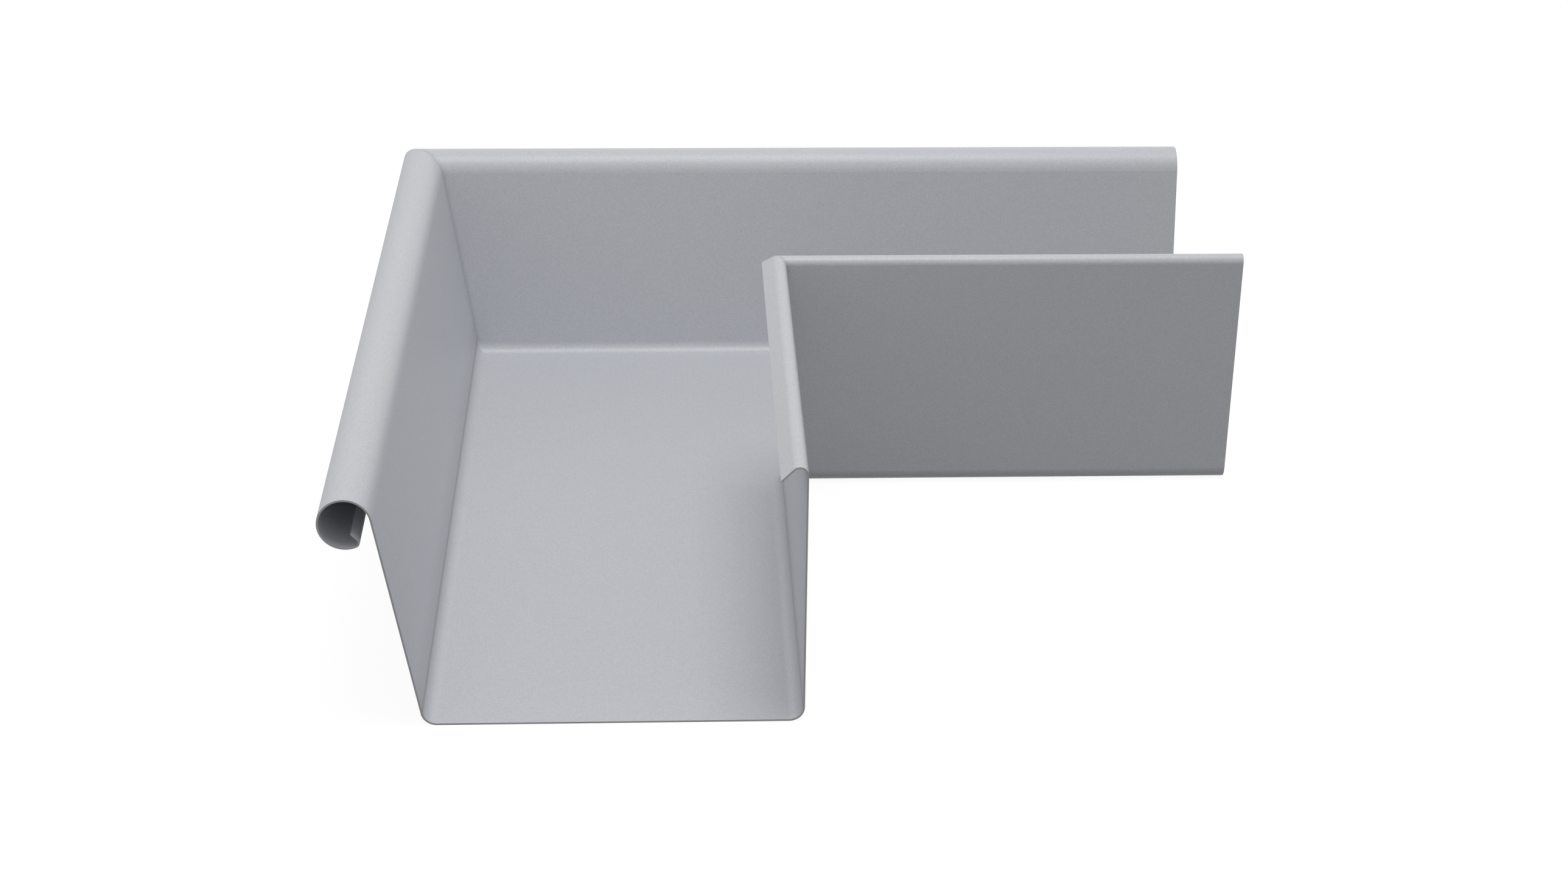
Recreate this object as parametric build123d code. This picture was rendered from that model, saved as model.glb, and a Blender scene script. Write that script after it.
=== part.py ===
from build123d import *
from math import cos, radians, sin, tan
import os

os.makedirs("parts", exist_ok=True)

# A right-angled corner of eaves gutter, bent from one sheet. The bead is on the outside of the corner.
# The origin is on the underside, where the centre lines of the two legs meet.
# One leg runs along -Y, the other along +X, and +Z is up. Lengths are in millimetres, angles in degrees.

# Sheet and legs
sheet_thickness = 0.6
bottom_width = 120.0  # between the outer faces of the two walls, measured at their foot
leg_length = 164.5  # along the rear wall, from the inner corner to the cut end
foot_bend_radius = 5.0  # outer radius of the bends between the bottom and the walls

# Front wall, with the bead along its top and the lip that ends inside the bead
front_lean = 10.0  # outward from upright
bead_top = 80.0  # height of the bead's crown
bead_diameter = 17.0  # outside
bead_wrap = 283.0  # how far round the sheet curls before the lip
lip_bend_radius = 1.8  # outer
lip_turn = 110.0
lip_length = 2.7  # the flat part

# Rear wall, with the fold that slopes down into the channel
rear_height = 89.8
fold_bend_radius = 2.75  # outer
fold_slope = 45.0  # below level
fold_reach = 8.5  # from the rear wall's outer face to the fold's free edge

# The mitre stands upright through the corner, halfway between the two legs
mitre = Plane(origin=(0, 0, 0), x_dir=(1, -1, 0), z_dir=(1, 1, 0))


def sheet_face(depth):
    """One face of the bent sheet, from the fold's free edge to the lip's, and those two ends.

    At depth 0 it is the outer face of the fold, the walls and the bottom, which turns into the
    inner face of the bead. A greater depth moves it through the sheet. X is outward, Y is up.
    """
    slope = radians(fold_slope)
    lean = radians(front_lean)
    foot_turn = 90 - front_lean
    foot_run = foot_bend_radius * tan(radians(foot_turn) / 2)
    bead_inner_radius = bead_diameter / 2 - sheet_thickness
    bead_centre_height = bead_top - bead_diameter / 2
    front_length = (bead_centre_height + bead_inner_radius * sin(lean)) / cos(lean)

    crest_run = fold_bend_radius * (1 + sin(slope))
    crest_drop = fold_bend_radius * (1 - cos(slope))
    fold_drop = crest_drop + (fold_reach - crest_run) * tan(slope)
    fold_edge = Vector(fold_reach - bottom_width / 2, rear_height - fold_drop)
    fold_flat = (fold_reach - crest_run) / cos(slope)
    rear_flat = rear_height - fold_bend_radius - foot_bend_radius
    bottom_flat = bottom_width - foot_bend_radius - foot_run
    front_flat = front_length - foot_run

    start = fold_edge - depth * Vector(sin(slope), cos(slope))
    fold = Line(start, start + fold_flat * Vector(-cos(slope), sin(slope)))
    crest = JernArc(fold @ 1, fold % 1, fold_bend_radius - depth, 90 + fold_slope)
    rear = Line(crest @ 1, crest @ 1 + rear_flat * (crest % 1))
    rear_foot = JernArc(rear @ 1, rear % 1, foot_bend_radius - depth, 90)
    bottom = Line(rear_foot @ 1, rear_foot @ 1 + bottom_flat * (rear_foot % 1))
    front_foot = JernArc(bottom @ 1, bottom % 1, foot_bend_radius - depth, foot_turn)
    front = Line(front_foot @ 1, front_foot @ 1 + front_flat * (front_foot % 1))
    bead = JernArc(front @ 1, front % 1, bead_inner_radius + depth, -bead_wrap)
    lip_bend = JernArc(bead @ 1, bead % 1, lip_bend_radius - sheet_thickness + depth, -lip_turn)
    lip = Line(lip_bend @ 1, lip_bend @ 1 + lip_length * (lip_bend % 1))
    return fold @ 0, lip @ 1


def sheet_section():
    """The bent sheet cut square across a leg."""
    with BuildSketch() as section:
        with BuildLine():
            outer_fold_edge, inner_lip_edge = sheet_face(0)
            inner_fold_edge, outer_lip_edge = sheet_face(sheet_thickness)
            Line(outer_fold_edge, inner_fold_edge)
            Line(outer_lip_edge, inner_lip_edge)
        make_face()
    return section.sketch


def leg():
    """The leg along -Y, from its square-cut end to the mitre."""
    section = sheet_section()
    end = bottom_width / 2 + leg_length
    past_origin = section.bounding_box().max.X + sheet_thickness
    end_plane = Plane(origin=(0, -end, 0), x_dir=(-1, 0, 0), z_dir=(0, 1, 0))
    uncut = extrude(end_plane * section, amount=end + past_origin)
    return split(uncut, bisect_by=mitre, keep=Keep.BOTTOM)


first_leg = leg()
gutter_angle = (first_leg + mirror(first_leg, about=mitre)).clean()
gutter_angle.label = "gutter_angle"

export_step(gutter_angle, "parts/gutter_angle.step")
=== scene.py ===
"""A corner of coated sheet gutter, lying on a white studio floor under soft light."""

from math import pi, sqrt

import bpy
from mathutils import Euler, Matrix, Vector


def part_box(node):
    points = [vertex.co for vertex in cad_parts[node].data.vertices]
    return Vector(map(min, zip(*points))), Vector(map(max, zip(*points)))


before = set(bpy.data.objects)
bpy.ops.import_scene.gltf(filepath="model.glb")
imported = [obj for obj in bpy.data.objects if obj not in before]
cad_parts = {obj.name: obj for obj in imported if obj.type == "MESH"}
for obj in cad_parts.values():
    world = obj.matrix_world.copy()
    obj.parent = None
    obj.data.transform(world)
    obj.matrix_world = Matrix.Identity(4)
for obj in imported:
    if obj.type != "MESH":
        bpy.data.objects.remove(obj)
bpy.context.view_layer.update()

# Colours are linear, lengths are metres, angles are radians and lamps are watts
COATING_COOL = (0.615, 0.631, 0.669, 1)
COATING_NEUTRAL = (0.627, 0.641, 0.672, 1)
TINT_PATCH = 0.14
TINT_EDGES = (0.35, 0.65)  # the noise's values where the tint is all cool and all neutral

FLAKE = 0.00024
FLAKE_SHADES = (0.91, 1.09)
FLAKE_ROUGHNESS = (0.38, 0.48)
GLINT_FROM = 0.993  # only flakes with a random value above this one glint
GLINT_METAL = (0.03, 0.25)  # metallic share of the plain coating and of the brightest flake
SKIN_RIPPLE = 0.0018
RIPPLE_STRENGTH = 0.1
RIPPLE_DEPTH = 0.0002

CUT_METAL = (0.55, 0.55, 0.55, 1)
CUT_DEPTH = 0.00005  # how far in from the two cut ends the bare metal goes
CUT_ROUGHNESS = 0.6

MITRE_SHADE = 0.0014  # how far from the mitre the walls are shaded
MITRE_DARKNESS = 0.13
FOOT_HEIGHT = 0.005  # where the bends at the bottom end and the walls begin
# Painted shade along the foot of the inner walls of the leg along -Y: a thin dark line, and a soft shade
# above it
FOOT_LINE_REACH = 0.0013  # how far above and below that height the painted dark line fades out
FOOT_LINE_DARKNESS = 0.24
FOOT_SHADE_REACH = 0.014  # how far up the walls its soft painted shade goes
SHADE_DARKNESS = 0.13
SHADE_START = 0.001  # the height on the bend where that shade begins

FLOOR_COLOUR = (0.15, 0.15, 0.15, 1)
FLOOR_WHITE = 0.92  # added to the floor's own light where the camera or a reflection sees it
FLOOR_HALF = 6.0
SKY_COLOUR = (1, 1, 1, 1)
SKY_LIGHT = 0.465
LAMP_PLACE = (0.05, -0.1, 1.4)
LAMP_AIM = (0.05, -0.05, 0.03)
LAMP_SIZE = 0.9
LAMP_POWER = 7.0

CAMERA_PLACE = (0.01804, -0.94868, 0.45602)
CAMERA_YAW, CAMERA_PITCH, CAMERA_ROLL = -0.0472, 0.4579, 0.0132
LENS_MM, SENSOR_MM = 61.854, 36.0


def node(tree, kind, links=None, **settings):
    """A node with its settings, and its inputs set to a value or linked to a socket."""
    made = tree.nodes.new(kind)
    for name, value in settings.items():
        setattr(made, name, value)
    for name, value in (links or {}).items():
        socket = made.inputs[name]
        if isinstance(value, bpy.types.NodeSocket):
            tree.links.new(value, socket)
        else:
            socket.default_value = value
    return made


def calc(tree, operation, first, second=0.0):
    """The output of a math node, from one or two values or sockets."""
    return node(tree, "ShaderNodeMath", {0: first, 1: second}, operation=operation).outputs[0]


def spread(tree, value, low, high):
    """A value from 0 to 1, spread over another range."""
    return node(tree, "ShaderNodeMapRange", {"Value": value, "To Min": low, "To Max": high}).outputs[0]


def fade(tree, distance, reach, darkness):
    """How much light is lost at a distance: the darkness at zero, and nothing from reach on."""
    return node(tree, "ShaderNodeMapRange",
                {"Value": distance, "From Max": reach, "To Min": darkness, "To Max": 0.0},
                interpolation_type="SMOOTHSTEP").outputs[0]


def surface(tree, shader):
    """Links a shader to the output of its material."""
    out = node(tree, "ShaderNodeOutputMaterial")
    tree.links.new(shader.outputs[0], out.inputs["Surface"])


def new_material(name):
    """A material with an empty node tree."""
    material = bpy.data.materials.new(name)
    material.use_nodes = True
    material.node_tree.nodes.clear()
    return material, material.node_tree


def cut_end_mask(tree, where):
    """White on the two cut ends of the sheet, where the bare metal shows, and black elsewhere."""
    low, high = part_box("gutter_angle")
    place = node(tree, "ShaderNodeSeparateXYZ", {0: where}).outputs
    first = calc(tree, "LESS_THAN", place["Y"], low[1] + CUT_DEPTH)
    second = calc(tree, "GREATER_THAN", place["X"], high[0] - CUT_DEPTH)
    return calc(tree, "MAXIMUM", first, second)


def mitre_shade(tree, where):
    """How much light is left along the mitre, where the walls of the two legs meet."""
    place = node(tree, "ShaderNodeSeparateXYZ", {0: where}).outputs
    away = calc(tree, "ABSOLUTE", calc(tree, "ADD", place["X"], place["Y"]))
    near = fade(tree, away, MITRE_SHADE * sqrt(2), MITRE_DARKNESS)
    wall = calc(tree, "GREATER_THAN", place["Z"], FOOT_HEIGHT)
    return calc(tree, "SUBTRACT", 1.0, calc(tree, "MULTIPLY", near, wall))


def painted_foot_shade(tree, where, facing):
    """How much light is left under a painted shade along the foot of the walls, inside the leg along -Y,
    where the bends end: a thin dark line, and a soft shade above it.
    """
    place = node(tree, "ShaderNodeSeparateXYZ", {0: where}).outputs
    above = calc(tree, "SUBTRACT", place["Z"], FOOT_HEIGHT)
    line = fade(tree, calc(tree, "ABSOLUTE", above), FOOT_LINE_REACH, FOOT_LINE_DARKNESS)
    bend = node(tree, "ShaderNodeMapRange",
                {"Value": place["Z"], "From Min": SHADE_START, "From Max": FOOT_HEIGHT},
                interpolation_type="SMOOTHSTEP").outputs[0]
    soft = calc(tree, "MULTIPLY", fade(tree, above, FOOT_SHADE_REACH, SHADE_DARKNESS), bend)
    both = calc(tree, "ADD", line, soft)

    leg = calc(tree, "LESS_THAN", calc(tree, "ADD", place["X"], place["Y"]), 0.0)
    turned = node(tree, "ShaderNodeSeparateXYZ", {0: facing}).outputs["X"]
    inside = calc(tree, "LESS_THAN", calc(tree, "MULTIPLY", place["X"], turned), 0.0)
    shown = calc(tree, "MULTIPLY", leg, inside)
    return calc(tree, "SUBTRACT", 1.0, calc(tree, "MULTIPLY", both, shown))


def coating_material():
    """Silver-grey coating with fine metallic flakes, over rolled sheet."""
    material, tree = new_material("silver_coating")
    coords = node(tree, "ShaderNodeTexCoord").outputs
    where = coords["Object"]

    flakes = node(tree, "ShaderNodeTexVoronoi", {"Vector": where, "Scale": 1 / FLAKE})
    chance = node(tree, "ShaderNodeSeparateColor", {0: flakes.outputs["Color"]}).outputs
    grain = spread(tree, chance["Red"], *FLAKE_SHADES)
    # Painted shade: the walls darker along the mitre crease, and along the foot of the walls in the leg
    # along -Y
    painted_shade = calc(tree, "MULTIPLY", mitre_shade(tree, where), painted_foot_shade(tree, where, coords["Normal"]))
    shade = calc(tree, "MULTIPLY", grain, painted_shade)
    glint = node(tree, "ShaderNodeMapRange",
                 {"Value": chance["Green"], "From Min": GLINT_FROM, "From Max": 1.0}).outputs[0]

    patches = node(tree, "ShaderNodeTexNoise", {"Vector": where, "Scale": 1 / TINT_PATCH, "Detail": 1.0})
    tint = node(tree, "ShaderNodeMapRange",
                {"Value": patches.outputs["Fac"], "From Min": TINT_EDGES[0], "From Max": TINT_EDGES[1]})
    tinted = node(tree, "ShaderNodeMix", {"Factor": tint.outputs[0], 6: COATING_COOL, 7: COATING_NEUTRAL},
                  data_type="RGBA")
    shaded = node(tree, "ShaderNodeVectorMath", {0: tinted.outputs[2], "Scale": shade}, operation="SCALE")
    cut = cut_end_mask(tree, where)
    colour = node(tree, "ShaderNodeMix", {"Factor": cut, 6: shaded.outputs[0], 7: CUT_METAL},
                  data_type="RGBA")

    satin = spread(tree, chance["Blue"], *FLAKE_ROUGHNESS)
    rough = node(tree, "ShaderNodeMix", {"Factor": cut, 2: satin, 3: CUT_ROUGHNESS})
    metal = spread(tree, glint, *GLINT_METAL)

    ripple = node(tree, "ShaderNodeTexNoise", {"Vector": where, "Scale": 1 / SKIN_RIPPLE, "Detail": 2.0})
    bump = node(tree, "ShaderNodeBump", {"Strength": RIPPLE_STRENGTH, "Distance": RIPPLE_DEPTH,
                                         "Height": ripple.outputs["Fac"]})
    paint = node(tree, "ShaderNodeBsdfPrincipled",
                 {"Base Color": colour.outputs[2], "Metallic": metal, "Roughness": rough.outputs[0],
                  "Normal": bump.outputs["Normal"]})
    surface(tree, paint)
    return material


def seen_white(tree):
    """One on the rays that have to meet a white background: the camera's, and those of metal and glass."""
    rays = node(tree, "ShaderNodeLightPath").outputs
    seen = calc(tree, "MAXIMUM", rays["Is Camera Ray"], rays["Is Glossy Ray"])
    return calc(tree, "MAXIMUM", seen, rays["Is Transmission Ray"])


def floor_material():
    """White to the camera and in reflections, keeping the shadow, and a quiet grey to everything else."""
    material, tree = new_material("studio_floor")
    lift = calc(tree, "MULTIPLY", seen_white(tree), FLOOR_WHITE)
    matt = node(tree, "ShaderNodeBsdfDiffuse", {"Color": FLOOR_COLOUR})
    white = node(tree, "ShaderNodeEmission", {"Strength": lift})
    surface(tree, node(tree, "ShaderNodeAddShader", {0: matt.outputs[0], 1: white.outputs[0]}))
    return material


def add_floor():
    """A large plain square under the gutter, which shows as white ground from every side."""
    half = FLOOR_HALF
    mesh = bpy.data.meshes.new("floor")
    corners = [(-half, -half, 0), (half, -half, 0), (half, half, 0), (-half, half, 0)]
    mesh.from_pydata(corners, [], [(0, 1, 2, 3)])
    floor = bpy.data.objects.new("floor", mesh)
    bpy.context.collection.objects.link(floor)
    mesh.materials.append(floor_material())


def add_world():
    """White where the camera or a reflection sees it, and soft even light to everything else."""
    world = bpy.data.worlds.new("studio")
    bpy.context.scene.world = world
    world.use_nodes = True
    tree = world.node_tree
    tree.nodes.clear()
    strength = spread(tree, seen_white(tree), SKY_LIGHT, 1.0)
    light = node(tree, "ShaderNodeBackground", {"Color": SKY_COLOUR, "Strength": strength})
    out = node(tree, "ShaderNodeOutputWorld")
    tree.links.new(light.outputs[0], out.inputs["Surface"])


def add_softbox():
    """A large round lamp over the channel."""
    light = bpy.data.lights.new("overhead", "AREA")
    light.shape = "DISK"
    light.size = LAMP_SIZE
    light.energy = LAMP_POWER
    lamp = bpy.data.objects.new("overhead", light)
    bpy.context.collection.objects.link(lamp)
    lamp.location = LAMP_PLACE
    lamp.rotation_euler = (Vector(LAMP_AIM) - lamp.location).to_track_quat("-Z", "Y").to_euler()


def add_camera():
    """The photograph's view."""
    data = bpy.data.cameras.new("camera")
    data.sensor_width = SENSOR_MM
    data.lens = LENS_MM
    camera = bpy.data.objects.new("camera", data)
    bpy.context.collection.objects.link(camera)
    camera.location = CAMERA_PLACE
    level = Euler((pi / 2 - CAMERA_PITCH, 0, CAMERA_YAW)).to_matrix()
    camera.rotation_euler = (level @ Matrix.Rotation(CAMERA_ROLL, 3, "Z")).to_euler()
    bpy.context.scene.camera = camera


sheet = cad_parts["gutter_angle"]
sheet.data.materials.clear()
sheet.data.materials.append(coating_material())

add_floor()
add_world()
add_softbox()
add_camera()
bpy.context.scene.view_settings.view_transform = "Standard"
